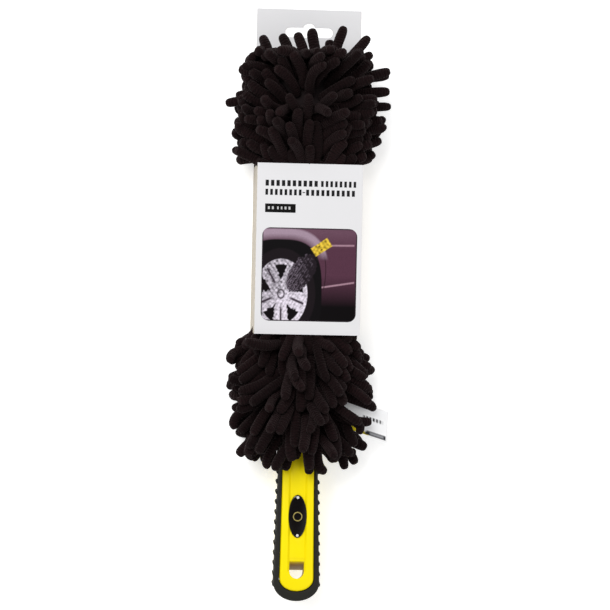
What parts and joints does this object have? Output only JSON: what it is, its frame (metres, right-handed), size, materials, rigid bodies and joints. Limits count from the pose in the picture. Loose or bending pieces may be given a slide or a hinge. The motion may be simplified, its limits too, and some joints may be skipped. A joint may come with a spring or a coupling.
{
  "type": "wheel brush",
  "caption": "Wheel cleaning brush: a straight stiff head covered all round in chenille noodles, on a rubber-edged handle with a hook hole, in a card sleeve with a hang tab.",
  "frame": {"origin": "on the back face of the card sleeve, under the middle of the sleeve and of the brush axis", "axes": "+Y along the brush axis towards the tip of the head, +X to the right seen from the front, +Z out of the card's front; the brush lies on its back"},
  "size_m": [0.0948, 0.3299, 0.0618],
  "materials": {
    "yellow_plastic": "moulded, satin gloss",
    "black_rubber": "matt soft-touch",
    "badge_black": "domed gloss",
    "bright_metal": "polished",
    "core_plastic": "moulded",
    "steel": "zinc plated",
    "foam": "open-cell foam",
    "cover_fabric": "woven polyester backing",
    "chenille": "soft microfibre chenille",
    "label_tape": "satin tape",
    "printed_card": "coated print",
    "glue": "dried glue"
  },
  "bodies": {
    "brush": {"handle_core": "yellow_plastic", "grip_overmould": "black_rubber", "badge_plate": "badge_black", "badge_ring": "bright_metal", "badge_pin_upper": "bright_metal", "badge_pin_lower": "bright_metal", "core_rod": "core_plastic", "core_pin": "steel", "foam_body": "foam", "tip_washer": "core_plastic", "tip_screw": "steel", "cover_cloth": "cover_fabric", "neck_elastic": "cover_fabric", "pile_tip": "chenille", "pile_upper": "chenille", "pile_middle": "chenille", "pile_lower": "chenille", "pile_neck": "chenille", "care_label": "label_tape"},
    "sleeve": {"sleeve_card": "printed_card", "glue_strip": "glue"}
  },
  "joints": [
    {"name": "sleeve_slide", "type": "slide", "parent": "brush", "child": "sleeve", "axis": [0, 1, 0], "range_m": [0, 0.18], "deforming": ["pile_tip", "pile_upper", "pile_middle"]}
  ]
}
